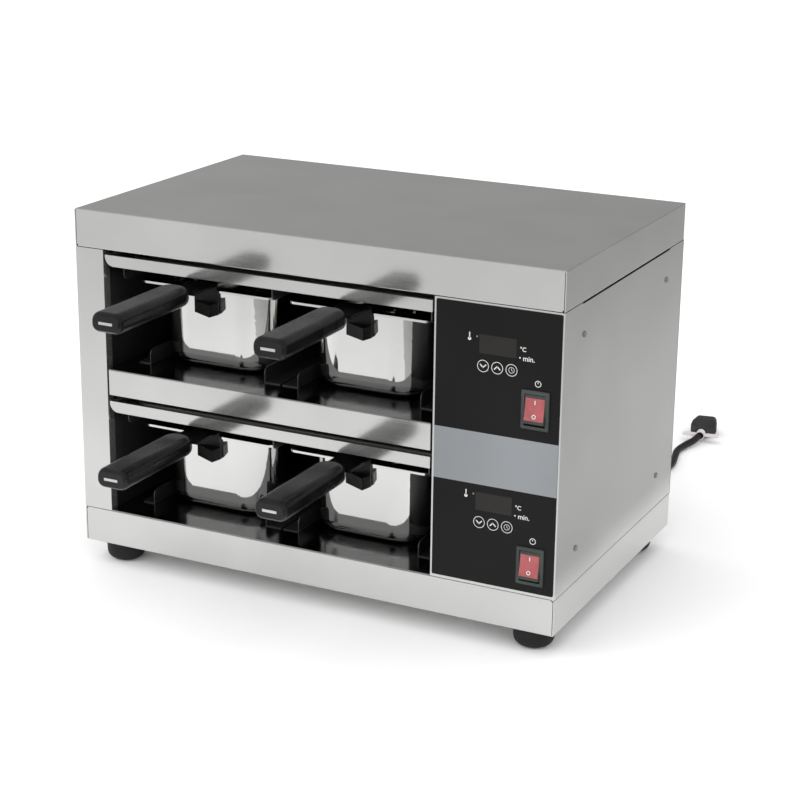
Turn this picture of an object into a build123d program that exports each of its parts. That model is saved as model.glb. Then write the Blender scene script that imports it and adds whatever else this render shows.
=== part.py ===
from build123d import *
import math
import os

# Countertop warming cabinet: two heated tiers with two handled food pans in each, and a control
# compartment at the right. Millimetres. X runs across the front, Y from the front to the back and
# Z up from the surface that the cabinet stands on. The origin is the middle of the footprint.

# ---- cabinet ----
body_width = 600.0
body_depth = 372.5
body_height = 403.0
foot_height = 27.0
sheet = 1.2                   # stainless sheet of the outer skins
sheet_bend = 1.6              # outer bend radius of the folded skins
edge_bend = 0.9               # rounded free edges of the base and the cover, where the panels meet them
corner_slit = 0.7             # between the front skin and the side skins of the base and the cover
corner_notch = 2.2            # the slit is this wide and high at its open end
cover_skirt = 43.9
base_height = 42.4
panel_seam = 0.5              # shadow gap above and below the front and side panels
edge_return = 12.0            # folded-in edge that the walls stand on
post_width = 37.0             # hollow post at the left of the food bay
control_width = 146.5         # control compartment at the right
vent_gap = 2.0                # slot under the cover's side edge
vent_gap_inset = 49.0         # the slot stops this far from the front and the back

vent_slots = 6                # in the back panel, behind the control compartment
vent_slot_length = 70.0
vent_slot_height = 5.0
vent_slot_pitch = 12.0
vent_drop = 125.0             # middle of the slots below the skirt's edge

# ---- heated tiers ----
tier_count = 2
tier_pitch = 174.0
hot_plate = 1.5
divider_height = 31.0
bay_clear = 122.5             # from a hot plate up to the heater tray above it
heater_tray_depth = 13.0
tray_sheet = 1.0
tray_side_gap = 2.5
tray_back_gap = 6.0
tray_corner = 11.0            # rounded lower left edge of the heater tray
rail_height = 7.0
rail_setback = 24.0

# ---- tubular elements ----
element_dia = 6.5
element_inset = 30.0
element_runs = 8
element_margin = 10.0         # between the half turns and the tray's ends
element_hole_clear = 0.3
terminal_length = 12.0
terminal_dia = 4.0

# ---- pans, a third of the standard catering size, 100 deep ----
pan_width = 176.0
pan_length = 325.0
pan_depth = 100.0
pan_flange = 11.0
pan_sheet = 1.0
pan_taper = 4.0               # the floor of the pan is smaller by this on each side
pan_corner = 46.0
pan_floor_radius = 17.0
pan_rim_corner = 9.0
pan_rim_roll = 2.6
pan_setback = 38.0
pan_pitch = 196.0
pan_running_gap = 0.3         # between the pan's floor and the hot plate

# ---- guides ----
guide_sheet = 1.2
guide_clear = 3.0             # beside the pan's floor
guide_height = 18.0
guide_foot = 16.0
guide_inner_foot = 20.5
guide_corner = 7.0
guide_setback = 40.0
guide_length = 300.0
upper_guide_height = 20.0
upper_guide_foot = 14.0
upper_guide_setback = 21.0
upper_guide_length = 322.0
upper_guide_clear = 9.0       # beside the pan's rim

# ---- pan handles ----
grip_reach = 158.0            # front end of the grip, ahead of the cabinet's front
grip_length = 146.0
grip_width = 38.0
grip_thickness = 22.5
grip_plan_corner = 17.5       # rounded rear end, seen from above
grip_nose_corner = 9.0
grip_nose_cut = 2.3           # the flat front end is cut this far behind the moulded shape's front
grip_edge_round = 9.5         # upper and lower edges
tang_width = 17.0
tang_thickness = 3.0
tang_rise = 7.0               # middle of the tang above the pan's rim
tang_clear = 0.1
arm_width = 36.0
arm_corner = 6.0
tab_left = 18.5               # the tab's left edge from the middle of the pan
tab_right = 12.5
tab_drop = 31.0               # bottom of the tab below the rim
wing_reach = 17.0
wing_inset = 3.0              # tip of the wing inside the tab's right edge
wing_height = 14.0

# ---- control panel ----
overlay_sheet = 0.8
overlay_side = 2.3
overlay_outer = 2.0
overlay_top = 2.6
overlay_bottom = 3.9
overlay_corner = 1.5
band_top = 186.0              # grey band between the two black fields, below the cabinet's top
band_bottom = 244.3
controls_pitch = 174.4
display_from_right = 73.3     # these distances across are from the body's right side
display_drop = 88.9
display_width = 42.5
display_height = 20.8
display_recess = 0.3
display_ledge = 1.5           # the fascia's opening is smaller by this all round
key_from_right = (89.2, 73.1, 56.9)
key_drop = 112.4
key_dia = 13.6
key_clear = 0.15
key_stem_dia = 6.0
key_stem_clear = 0.2
key_travel = 0.5
key_proud = 0.4
key_switch_height = 5.0
key_switch_dia = 7.0
key_switch_gap = 0.05
key_names = ("down", "up", "timer")
led_from_right = 97.0
led_drop = 81.5
led_dia = 2.4

# ---- rocker switches ----
rocker_from_right = 28.8
rocker_drop = 151.8
rocker_frame_width = 31.5
rocker_frame_height = 42.4
rocker_frame_proud = 2.6
rocker_frame_lip = 2.6
rocker_frame_corner = 1.5
rocker_frame_chamfer = 0.8
rocker_well = 9.0             # depth of the frame's well behind the panel
rocker_body_depth = 24.0
rocker_gap = 0.3
rocker_pivot_depth = 3.0      # pivot behind the panel's front
rocker_wall = 1.2
rocker_crest = 6.5            # middle of the rocker's hollow face, ahead of its pivot
rocker_end_rise = 1.2         # the ends of the face stand this much further out
rocker_heel = 1.5
rocker_tab_width = 6.3
rocker_tab_length = 9.0
rocker_tab_thickness = 0.8
rocker_tab_pitch = 11.0
rocker_pin_dia = 4.0
rocker_pin_clear = 0.08
rocker_tilt = 10.0            # the upper end is pressed in at rest
rocker_lens_width = 21.5
rocker_lens_height = 24.0
rocker_lens_depth = 3.6
rocker_lens_rise = 0.75       # of the lens's hollow face, from its middle to its ends
rocker_lens_proud = 0.35

# ---- electronics ----
board_gap = 9.0
board_thickness = 1.6
board_width = 96.0
board_height = 62.0
board_from_right = 92.0
board_drop = 96.0
board_lamp_clear = 0.1
board_air = 0.6               # between the display module and the fascia
board_hole_dia = 3.2
board_standoff_dia = 6.0
# relay, transformer, capacitor and connector behind the board: across, up, width, height, depth
board_parts = ((-28.0, -12.0, 19.0, 15.0, 16.0), (8.0, -12.0, 30.0, 24.0, 22.0),
               (-12.0, 18.0, 10.0, 10.0, 14.0), (30.0, 18.0, 14.0, 20.0, 10.0))
board_hole_inset = 5.0
terminal_block_length = 66.0
terminal_block_depth = 24.0
terminal_block_height = 22.0
terminal_block_from_right = 70.0
terminal_block_y = 30.0
terminal_ways = 6
terminal_slot = 1.5
terminal_slot_depth = 8.0
terminal_screw_dia = 6.0
lead_dia = 4.0
lead_reach = 10.0             # from an element's tip to where its lead turns down
lead_pitch = 7.0
lead_rise = 40.0
lead_bend = 5.0
inner_cord_run = 60.0         # straight stretch at each end of the cord inside the cabinet
inner_cord_bend = 40.0
probe_dia = 5.0
probe_reach = 16.0            # into the bay, beside the pans
probe_y = 120.0
probe_height = 60.0
probe_nut_dia = 12.0
probe_nut_length = 4.0

# ---- feet and fasteners ----
foot_inset_x = 34.7
foot_inset_y = 31.6
foot_dia = 46.0
foot_sole_dia = 20.0
foot_wall = 14.0              # straight upper part of the foot, above its rounded lower part
foot_bolt_dia = 6.0
foot_bolt_head_dia = 10.0
foot_bolt_head_height = 4.0
foot_bolt_length = 16.0
screw_head_dia = 7.0
screw_head_height = 1.6
screw_head_round = 1.0
screw_shank_dia = 3.5
screw_shank_length = 8.0
screw_clear = 0.05
screw_inset_y = 56.5
screw_drop = 80.0
screw_pitch_z = 240.5

# ---- mains cord ----
cord_dia = 9.5
cord_low = cord_dia / 2       # middle of the cord where it lies on the ground
coil_top = cord_dia * 1.5     # middle of the coil's upper layer
gland_from_right = 75.0
gland_height = 95.0
gland_dia = 22.0
gland_flange_dia = 28.0
gland_proud = 8.0
gland_inside = 10.0
relief_length = 30.0
relief_root_dia = 17.0
relief_tip_dia = 12.0
coil_from_gland = 117.0
coil_back = 96.0
coil_mean_dia = 104.0
coil_edge_round = 3.8
plug_from_gland = 13.0
plug_back = 402.0
plug_heading = -10.0          # degrees to the right of straight back
plug_length = 50.0
plug_width = 36.0
plug_height = 22.0
plug_neck_width = 17.0
# sections from the neck to the face: share of the plug's length, width and height
plug_sections = ((0.0, plug_neck_width, cord_dia + 3), (0.22, plug_neck_width, cord_dia + 4),
                 (0.42, plug_width, plug_height - 4), (0.62, plug_width, plug_height),
                 (1.0, plug_width - 6, plug_height - 2))
plug_corner = 0.3             # corner radius as a share of the section's smaller side
plug_pin_dia = 4.0
plug_pin_length = 19.0
plug_pin_pitch = 9.5
plug_earth_offset = 3.0
tag_length = 50.0
tag_width = 12.0
tag_gap = 1.0
tag_clear = 0.4
tag_thickness = 1.2
relief_grooves = 3
relief_groove = 1.6

# ---- derived places ----
front = grip_reach - (grip_reach + body_depth) / 2
back = front + body_depth
middle = (front + back) / 2
left = -body_width / 2
right = body_width / 2
body_floor = foot_height
base_top = body_floor + base_height
body_top = body_floor + body_height
skirt_edge = body_top - cover_skirt
panel_low = base_top + panel_seam
panel_high = skirt_edge - panel_seam
bay_left = left + post_width
bay_right = right - control_width
bay_middle = (bay_left + bay_right) / 2
liner_left = bay_left - sheet
liner_right = bay_right + sheet
tray_left = bay_left + tray_side_gap
tray_right = bay_right - tray_side_gap
tray_back = back - sheet - tray_back_gap
tier_floor = [base_top + hot_plate + tier_pitch * i for i in range(tier_count)]
heater_floor = [z + bay_clear for z in tier_floor]
tier_names = ("lower", "upper")
pan_front = front + pan_setback
pan_wall_front = pan_front + pan_flange
pan_side_names = ("left", "right")
pan_x = [bay_middle - pan_pitch / 2, bay_middle + pan_pitch / 2]
vent_x = (bay_right + right) / 2
vent_z = skirt_edge - vent_drop
overlay_left = bay_right + overlay_side
overlay_right = right - overlay_outer
overlay_high = skirt_edge - overlay_top
overlay_low = base_top + overlay_bottom
guide_spacing = pan_width - 2 * (pan_flange + pan_taper - guide_clear)
display_x = right - display_from_right
key_x = [right - distance for distance in key_from_right]
led_x = right - led_from_right
rocker_x = right - rocker_from_right
board_x = right - board_from_right
terminal_block_x = right - terminal_block_from_right
gland_x = right - gland_from_right
coil_x = gland_x - coil_from_gland
coil_y = back + coil_back
plug_x = gland_x - plug_from_gland
plug_y = back + plug_back
panel_back = front + sheet
board_front = panel_back + board_gap


def block(x, y, z, mode=Mode.ADD):
    """Box between two values on each axis, in the builder that is open."""
    middle = ((x[0] + x[1]) / 2, (y[0] + y[1]) / 2, (z[0] + z[1]) / 2)
    with Locations(middle):
        Box(x[1] - x[0], y[1] - y[0], z[1] - z[0], mode=mode)


def keep(part, name):
    """Label a finished piece and write it to its own file."""
    part.label = name
    export_step(part, f"parts/{name}.step")


def rod(start, direction, diameter, length, mode=Mode.ADD):
    """Round bar from a point along a direction, in the builder that is open."""
    with Locations(Plane(origin=start, z_dir=direction).location):
        Cylinder(diameter / 2, length, align=(Align.CENTER, Align.CENTER, Align.MIN), mode=mode)


# ---- skins ----
def cut_corner_slits(edge, fold):
    """Slits beside the front corners, from a free edge to the fold and wider at the edge."""
    notch = edge + math.copysign(corner_notch, fold - edge)
    for side in (-1, 1):
        outer = side * (right - sheet)
        for width, end in ((corner_slit, fold), (corner_notch, notch)):
            inner = outer - side * width
            block((min(outer, inner), max(outer, inner)), (front, front + sheet),
                  (min(edge, end), max(edge, end)), Mode.SUBTRACT)


def make_base_tray():
    with BuildPart() as tray:
        block((left, right), (front, back), (body_floor, base_top))
        fillet(tray.edges().filter_by(Axis.Z).group_by(Axis.Y)[-1], sheet_bend)
        fillet(tray.faces().sort_by(Axis.Z)[0].edges(), sheet_bend)
        fillet(tray.faces().sort_by(Axis.Z)[-1].edges(), edge_bend)
        block((left + sheet, right - sheet), (front + sheet, back - sheet),
              (body_floor + sheet, base_top - sheet), Mode.SUBTRACT)
        block((left + edge_return, right - edge_return), (front + edge_return, back - edge_return),
              (base_top - 2 * sheet, base_top), Mode.SUBTRACT)
        for x in (-1, 1):
            for y in (-1, 1):
                rod(foot_place(x, y, body_floor), (0, 0, 1), foot_bolt_dia, sheet, Mode.SUBTRACT)
        cut_corner_slits(base_top, body_floor + sheet_bend)
    keep(tray.part, "base_tray")


def make_top_cover():
    with BuildPart() as cover:
        block((left, right), (front, back), (skirt_edge, body_top))
        fillet(cover.edges().filter_by(Axis.Z).group_by(Axis.Y)[-1], sheet_bend)
        fillet(cover.faces().sort_by(Axis.Z)[-1].edges(), sheet_bend)
        fillet(cover.faces().sort_by(Axis.Z)[0].edges(), edge_bend)
        block((left + sheet, right - sheet), (front + sheet, back - sheet),
              (skirt_edge, body_top - sheet), Mode.SUBTRACT)
        cut_corner_slits(skirt_edge, body_top - sheet_bend)
    keep(cover.part, "top_cover")


def make_left_side_panel():
    with BuildPart() as panel:
        with BuildSketch(Plane.XY.offset(panel_low)):
            with BuildLine():
                Polyline((left, back - sheet), (left, front), (bay_left, front),
                         (bay_left, front + edge_return), (bay_left - sheet, front + edge_return),
                         (bay_left - sheet, front + sheet), (left + sheet, front + sheet),
                         (left + sheet, back - sheet), close=True)
            make_face()
        extrude(amount=panel_high - panel_low)
        block((left, left + sheet), (front + vent_gap_inset, back - vent_gap_inset),
              (skirt_edge - vent_gap, skirt_edge), Mode.SUBTRACT)
        drill_side_screws(-1)
    keep(panel.part, "left_side_panel")


def make_right_side_panel():
    with BuildPart() as panel:
        block((right - sheet, right), (front, back - sheet), (panel_low, panel_high))
        block((right - sheet, right), (front + vent_gap_inset, back - vent_gap_inset),
              (skirt_edge - vent_gap, skirt_edge), Mode.SUBTRACT)
        drill_side_screws(1)
    keep(panel.part, "right_side_panel")


def side_screw_places(side):
    """Outer ends of the four screws in one side panel."""
    for y in (front + screw_inset_y, back - screw_inset_y):
        for drop in (screw_drop, screw_drop + screw_pitch_z):
            yield (side * right, y, body_top - drop)


def drill_side_screws(side):
    for place in side_screw_places(side):
        rod(place, (-side, 0, 0), screw_shank_dia + 2 * screw_clear, sheet, Mode.SUBTRACT)


def make_left_liner():
    with BuildPart() as liner:
        block((liner_left - sheet, liner_left), (front + sheet, back - sheet), (base_top, skirt_edge))
    keep(liner.part, "left_liner")


def make_compartment_wall():
    with BuildPart() as wall:
        block((bay_right, liner_right), (panel_back, back - sheet), (base_top, skirt_edge))
        for level in element_levels()[1:]:
            for y in element_ends():
                rod((bay_right, y, level), (1, 0, 0), element_dia + 2 * element_hole_clear, sheet,
                    Mode.SUBTRACT)
        for floor in tier_floor:
            rod((bay_right, probe_y, floor + probe_height), (1, 0, 0), probe_dia, sheet, Mode.SUBTRACT)
    keep(wall.part, "compartment_wall")


def make_back_panel():
    with BuildPart() as panel:
        block((left, right), (back - sheet, back), (base_top, skirt_edge))
        rod((gland_x, back - sheet, gland_height), (0, 1, 0), gland_dia, sheet, Mode.SUBTRACT)
        with BuildSketch(Plane(origin=(vent_x, back - sheet, vent_z), x_dir=(1, 0, 0), z_dir=(0, -1, 0))):
            with GridLocations(0, vent_slot_pitch, 1, vent_slots):
                SlotOverall(vent_slot_length, vent_slot_height)
        extrude(amount=-sheet, mode=Mode.SUBTRACT)
    keep(panel.part, "back_panel")


# ---- heaters ----
def element_levels():
    """Middle heights of the four elements: under each hot plate and in each heater tray."""
    under = [z - hot_plate - element_dia / 2 for z in tier_floor]
    above = [z + tray_sheet + element_dia / 2 for z in heater_floor]
    return under + above


def element_ends():
    """Y places of an element's two ends."""
    return (front + element_inset, tray_back - element_inset)


def make_heater_tray(tier):
    low = heater_floor[tier]
    with BuildPart() as tray:
        block((tray_left, tray_right), (front, tray_back), (low, low + heater_tray_depth))
        lower_left = tray.edges().filter_by(Axis.Y).group_by(Axis.Z)[0].sort_by(Axis.X)[0]
        fillet(lower_left, tray_corner)
        top = tray.faces().sort_by(Axis.Z)[-1]
        offset(amount=-tray_sheet, openings=top)
        for y in element_ends():
            rod((tray_right - 2 * tray_sheet, y, low + tray_sheet + element_dia / 2), (1, 0, 0),
                element_dia + 2 * element_hole_clear, 3 * tray_sheet, Mode.SUBTRACT)
    keep(tray.part, f"{tier_names[tier]}_heater_tray")


def make_divider_tray():
    high = tier_floor[1] - hot_plate
    low = tier_floor[1] - divider_height
    with BuildPart() as tray:
        block((tray_left, tray_right), (front, tray_back), (low, high))
        top = tray.faces().sort_by(Axis.Z)[-1]
        offset(amount=-sheet, openings=top)
        for y in element_ends():
            rod((tray_right - 2 * sheet, y, high - element_dia / 2), (1, 0, 0),
                element_dia + 2 * element_hole_clear, 3 * sheet, Mode.SUBTRACT)
    keep(tray.part, "divider_tray")


def make_hot_plate(tier):
    high = tier_floor[tier]
    x_span = (tray_left, tray_right) if tier else (bay_left, bay_right)
    y_end = tray_back if tier else back - sheet
    with BuildPart() as plate:
        block(x_span, (front, y_end), (high - hot_plate, high))
    keep(plate.part, f"{tier_names[tier]}_hot_plate")


def element(level):
    """Tubular element: straight runs along X joined by half turns, both ends through the right wall."""
    start, end = element_ends()
    pitch = (end - start) / (element_runs - 1)
    bend = pitch / 2
    run_left = tray_left + bend + element_dia / 2 + element_margin
    run_right = tray_right - bend - element_dia / 2 - element_margin
    tip = liner_right + terminal_length
    with BuildPart() as heater:
        with BuildLine() as path:
            for k in range(element_runs):
                y = start + k * pitch
                x0 = tip if k == 0 else run_right
                x1 = tip if k == element_runs - 1 else run_right
                if k % 2 == 0:
                    Line((x0, y, level), (run_left, y, level))
                    CenterArc((run_left, y + bend, level), bend, -90, -180)
                else:
                    Line((run_left, y, level), (x1, y, level))
                    if k < element_runs - 1:
                        CenterArc((run_right, y + bend, level), bend, -90, 180)
        with BuildSketch(Plane(origin=path.line @ 0, z_dir=path.line % 0)):
            Circle(element_dia / 2)
        sweep()
        for y in (start, end):
            rod((tip, y, level), (1, 0, 0), terminal_dia, terminal_length)
    return heater.part


def make_elements(levels, name):
    with BuildPart() as elements:
        for level in levels:
            add(element(level))
    keep(elements.part, name)


def make_tray_rails():
    """Bars between the walls of the bay and the trays, above the trays' rounded lower edge."""
    low_edges = heater_floor + [tier_floor[1] - divider_height]
    with BuildPart() as rails:
        for low in low_edges:
            z_span = (low + tray_corner, low + tray_corner + rail_height)
            block((tray_right, bay_right), (front + rail_setback, tray_back), z_span)
            block((liner_left, tray_left), (front + rail_setback, tray_back), z_span)
    keep(rails.part, "tray_rails")


# ---- guides ----
def guide_profile(x, side, foot, z):
    """L section: a foot on the floor, pointing away from the pan, and an upright flange beside it."""
    block((min(x, x + side * guide_sheet), max(x, x + side * guide_sheet)),
          (front + guide_setback, front + guide_setback + guide_length), (z, z + guide_height))
    block((min(x, x + side * foot), max(x, x + side * foot)),
          (front + guide_setback, front + guide_setback + guide_length), (z, z + guide_sheet))


def floor_guides(z):
    """The four guides on one tier's floor."""
    with BuildPart() as guides:
        for index, centre in enumerate(pan_x):
            for side in (-1, 1):
                inner = (side > 0) == (index == 0)
                foot = guide_inner_foot if inner else guide_foot
                guide_profile(centre + side * guide_spacing / 2, side, foot, z)
        tops = guides.edges().filter_by(Axis.X).group_by(Axis.Z)[-1].group_by(Axis.Y)[0]
        fillet(tops, guide_corner)
    return guides.part


def make_floor_guides():
    with BuildPart() as guides:
        for z in tier_floor:
            add(floor_guides(z))
    keep(guides.part, "floor_guides")


def upper_guides(z):
    """Hanging flanges beside the rims, one at each wall and one between the two pans."""
    reach = pan_width / 2 + upper_guide_clear
    y_span = (front + upper_guide_setback, front + upper_guide_setback + upper_guide_length)
    with BuildPart() as guides:
        for x, side in ((pan_x[0] - reach, 1), (bay_middle, 1), (pan_x[1] + reach, -1)):
            block((x - guide_sheet / 2, x + guide_sheet / 2), y_span, (z - upper_guide_height, z))
            block((min(x, x + side * upper_guide_foot), max(x, x + side * upper_guide_foot)), y_span,
                  (z - guide_sheet, z))
        lows = guides.edges().filter_by(Axis.X).group_by(Axis.Z)[0].group_by(Axis.Y)[0]
        fillet(lows, guide_corner)
    return guides.part


def make_upper_guides():
    with BuildPart() as guides:
        for z in heater_floor:
            add(upper_guides(z))
    keep(guides.part, "upper_guides")


# ---- pans and handles ----
def pan_bowl(here, rim, inset):
    """Tapered bowl with rounded corners and floor, smaller on every side by an inset."""
    low_inset = inset + pan_flange + pan_taper
    with BuildPart() as bowl:
        with BuildSketch(here.offset(rim)):
            RectangleRounded(pan_width - 2 * (inset + pan_flange), pan_length - 2 * (inset + pan_flange),
                             pan_corner - inset)
        with BuildSketch(here.offset(rim - pan_depth + inset)):
            RectangleRounded(pan_width - 2 * low_inset, pan_length - 2 * low_inset,
                             pan_corner - pan_taper - inset)
        loft(ruled=True)
        fillet(bowl.faces().sort_by(Axis.Z)[0].edges(), pan_floor_radius - inset)
    return bowl.part


def make_pan(x, floor, name):
    rim = floor + pan_running_gap + pan_depth
    here = Plane(origin=(x, pan_front + pan_length / 2, 0))
    with BuildPart() as pan:
        add(pan_bowl(here, rim, 0))
        with BuildSketch(here.offset(rim - pan_rim_roll)):
            RectangleRounded(pan_width, pan_length, pan_rim_corner)
            RectangleRounded(pan_width - 2 * pan_sheet, pan_length - 2 * pan_sheet, pan_rim_corner - pan_sheet,
                             mode=Mode.SUBTRACT)
        extrude(amount=pan_rim_roll)
        with BuildSketch(here.offset(rim - pan_sheet)):
            RectangleRounded(pan_width, pan_length, pan_rim_corner)
        extrude(amount=pan_sheet)
        add(pan_bowl(here, rim, pan_sheet), mode=Mode.SUBTRACT)
    keep(pan.part, name)


def make_bracket(x, floor, name):
    """Black sheet bracket: tang in the grip, arm over the rim's edge, tab on the pan's wall and a wing."""
    rim = floor + pan_running_gap + pan_depth
    tang_low = rim + tang_rise - tang_thickness / 2
    tang_high = tang_low + tang_thickness
    clip_front = pan_front - tang_thickness
    ledge_high = rim - pan_rim_roll - tang_clear
    tab_low = rim - tab_drop
    tab_span = (x - tab_left, x + tab_right)
    wall = pan_wall_front
    grip_front = front - grip_reach
    arm_front = grip_front + grip_length
    with BuildPart() as bracket:
        block((x - tang_width / 2, x + tang_width / 2), (grip_front, arm_front), (tang_low, tang_high))
        block((x - arm_width / 2, x + arm_width / 2), (arm_front, pan_front), (tang_low, tang_high))
        block((x - arm_width / 2, x + arm_width / 2), (clip_front, pan_front),
              (ledge_high - tang_thickness, tang_high))
        block(tab_span, (clip_front, wall), (ledge_high - tang_thickness, ledge_high))
        block(tab_span, (wall - tang_thickness, wall), (tab_low, ledge_high))
        uprights = bracket.edges().filter_by(Axis.Z)
        arm_ends = uprights.filter_by_position(Axis.Y, arm_front - 1, arm_front + 1)
        fillet(arm_ends.sort_by(Axis.X)[0], arm_corner)
        with BuildSketch(Plane.XY.offset(tab_low)):
            with BuildLine():
                Polyline((tab_span[0], wall - tang_thickness), (tab_span[1] - wing_inset, wall - wing_reach),
                         (tab_span[1], wall - tang_thickness), close=True)
            make_face()
        extrude(amount=wing_height)
    keep(bracket.part, name)


def make_grip(x, floor, name):
    """Moulded grip: flattened bar with a round rear end and a flat front end, on the bracket's tang."""
    middle = floor + pan_running_gap + pan_depth + tang_rise
    grip_front = front - grip_reach
    grip_back = grip_front + grip_length
    half_w = grip_width / 2
    nose = grip_front - grip_nose_cut
    slot_w = tang_width / 2 + tang_clear
    slot_h = tang_thickness / 2 + tang_clear
    with BuildPart() as grip:
        block((x - half_w, x + half_w), (nose, grip_back),
              (middle - grip_thickness / 2, middle + grip_thickness / 2))
        fillet(grip.edges().filter_by(Axis.Z).group_by(Axis.Y)[-1], grip_plan_corner)
        fillet(grip.edges().filter_by(Axis.Z).group_by(Axis.Y)[0], grip_nose_corner)
        levels = grip.faces().sort_by(Axis.Z)
        fillet(levels[0].edges() + levels[-1].edges(), grip_edge_round)
        block((x - half_w, x + half_w), (nose, grip_front), (middle - grip_thickness, middle + grip_thickness),
              Mode.SUBTRACT)
        block((x - slot_w, x + slot_w), (grip_front, grip_back), (middle - slot_h, middle + slot_h),
              Mode.SUBTRACT)
    keep(grip.part, name)


# ---- control panel ----
def tier_drop(tier):
    """How far the controls of a tier lie below those of the upper tier."""
    return controls_pitch * (tier_count - 1 - tier)


def panel_point(x, drop, tier, y=None):
    return (x, front if y is None else y, body_top - drop - tier_drop(tier))


def cut_control_holes(depth_from, depth, key_hole, display_margin):
    """Openings for the displays, keys, lamps and rocker frames of both tiers."""
    for tier in range(tier_count):
        display = panel_point(display_x, display_drop, tier)
        half_w = display_width / 2 + display_margin
        half_h = display_height / 2 + display_margin
        block((display[0] - half_w, display[0] + half_w), (depth_from, depth_from + depth),
              (display[2] - half_h, display[2] + half_h), Mode.SUBTRACT)
        for x in key_x:
            place = panel_point(x, key_drop, tier, depth_from)
            rod(place, (0, 1, 0), key_hole, depth, Mode.SUBTRACT)
        lamp = panel_point(led_x, led_drop, tier, depth_from)
        rod(lamp, (0, 1, 0), led_dia, depth, Mode.SUBTRACT)
        rocker = panel_point(rocker_x, rocker_drop, tier)
        half_w = rocker_frame_width / 2 - rocker_frame_lip
        half_h = rocker_frame_height / 2 - rocker_frame_lip
        block((rocker[0] - half_w, rocker[0] + half_w), (depth_from, depth_from + depth),
              (rocker[2] - half_h, rocker[2] + half_h), Mode.SUBTRACT)


def make_control_fascia():
    with BuildPart() as fascia:
        block((bay_right, right - sheet), (front, panel_back), (panel_low, panel_high))
        block((right - 2 * sheet, right - sheet), (front, front + edge_return), (panel_low, panel_high))
        cut_control_holes(front, sheet, key_stem_dia + 2 * key_stem_clear, -display_ledge)
    keep(fascia.part, "control_fascia")


def make_overlay():
    """Printed film in two fields, above and below the grey band."""
    fields = ((body_top - band_top, overlay_high), (overlay_low, body_top - band_bottom))
    with BuildPart() as overlay:
        for low, high in fields:
            block((overlay_left, overlay_right), (front - overlay_sheet, front), (low, high))
        corners = overlay.edges().filter_by(Axis.Y)
        outer = corners.group_by(Axis.Z)[0] + corners.group_by(Axis.Z)[-1]
        fillet(outer, overlay_corner)
        cut_control_holes(front - overlay_sheet, overlay_sheet, key_dia + 2 * key_clear, 0.0)
    keep(overlay.part, "control_overlay")


def make_label_band():
    with BuildPart() as band:
        block((overlay_left, overlay_right), (front - overlay_sheet, front),
              (body_top - band_bottom, body_top - band_top))
    keep(band.part, "label_band")


def make_display_windows():
    with BuildPart() as windows:
        for tier in range(tier_count):
            x, y, z = panel_point(display_x, display_drop, tier)
            block((x - display_width / 2, x + display_width / 2), (y - overlay_sheet + display_recess, y),
                  (z - display_height / 2, z + display_height / 2))
    keep(windows.part, "display_windows")


def make_key(tier, index):
    """Key cap in the overlay, with a stem through the fascia to its switch on the board."""
    x, y, z = panel_point(key_x[index], key_drop, tier, front - overlay_sheet)
    switch_front = board_front - key_switch_height
    cap_back = front - key_travel
    with BuildPart() as key:
        rod((x, y - key_proud, z), (0, 1, 0), key_dia, cap_back - y + key_proud)
        rod((x, cap_back, z), (0, 1, 0), key_stem_dia, switch_front - key_travel - key_switch_gap - cap_back)
    keep(key.part, f"{tier_names[tier]}_{key_names[index]}_key")


def rocker_frame(tier):
    x, y, z = panel_point(rocker_x, rocker_drop, tier)
    half_w = rocker_frame_width / 2
    half_h = rocker_frame_height / 2
    face = front - overlay_sheet
    well_w, well_h = rocker_well_half()
    well_back = front + rocker_well
    with BuildPart() as frame:
        block((x - half_w, x + half_w), (face - rocker_frame_proud, face), (z - half_h, z + half_h))
        fillet(frame.edges().filter_by(Axis.Y), rocker_frame_corner)
        chamfer(frame.faces().sort_by(Axis.Y)[0].edges(), rocker_frame_chamfer)
        block((x - half_w + rocker_frame_lip, x + half_w - rocker_frame_lip),
              (face, front + rocker_body_depth),
              (z - half_h + rocker_frame_lip, z + half_h - rocker_frame_lip))
        block((x - well_w, x + well_w), (face - rocker_frame_proud, well_back), (z - well_h, z + well_h),
              Mode.SUBTRACT)
        rod((x - well_w - rocker_wall, front + rocker_pivot_depth, z), (1, 0, 0),
            rocker_pin_dia + 2 * rocker_pin_clear, 2 * (well_w + rocker_wall), Mode.SUBTRACT)
        for side in (-1, 0, 1):
            block((x - rocker_tab_width / 2, x + rocker_tab_width / 2),
                  (front + rocker_body_depth, front + rocker_body_depth + rocker_tab_length),
                  (z + side * rocker_tab_pitch - rocker_tab_thickness / 2,
                   z + side * rocker_tab_pitch + rocker_tab_thickness / 2))
    return frame.part


def make_rocker_frames():
    with BuildPart() as frames:
        for tier in range(tier_count):
            add(rocker_frame(tier))
    keep(frames.part, "rocker_frames")


def rocker_well_half():
    """Half width and half height of the well in a rocker's frame."""
    return (rocker_frame_width / 2 - rocker_frame_lip - rocker_wall,
            rocker_frame_height / 2 - rocker_frame_lip - rocker_wall)


def rocker_plane(x, z):
    """Side view plane of a rocker at its pin: local X points out of the panel, local Y up, both tilted."""
    tilt = math.radians(rocker_tilt)
    return Plane(origin=(x, front + rocker_pivot_depth, z), x_dir=(0, -math.cos(tilt), math.sin(tilt)),
                 z_dir=(-1, 0, 0))


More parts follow.
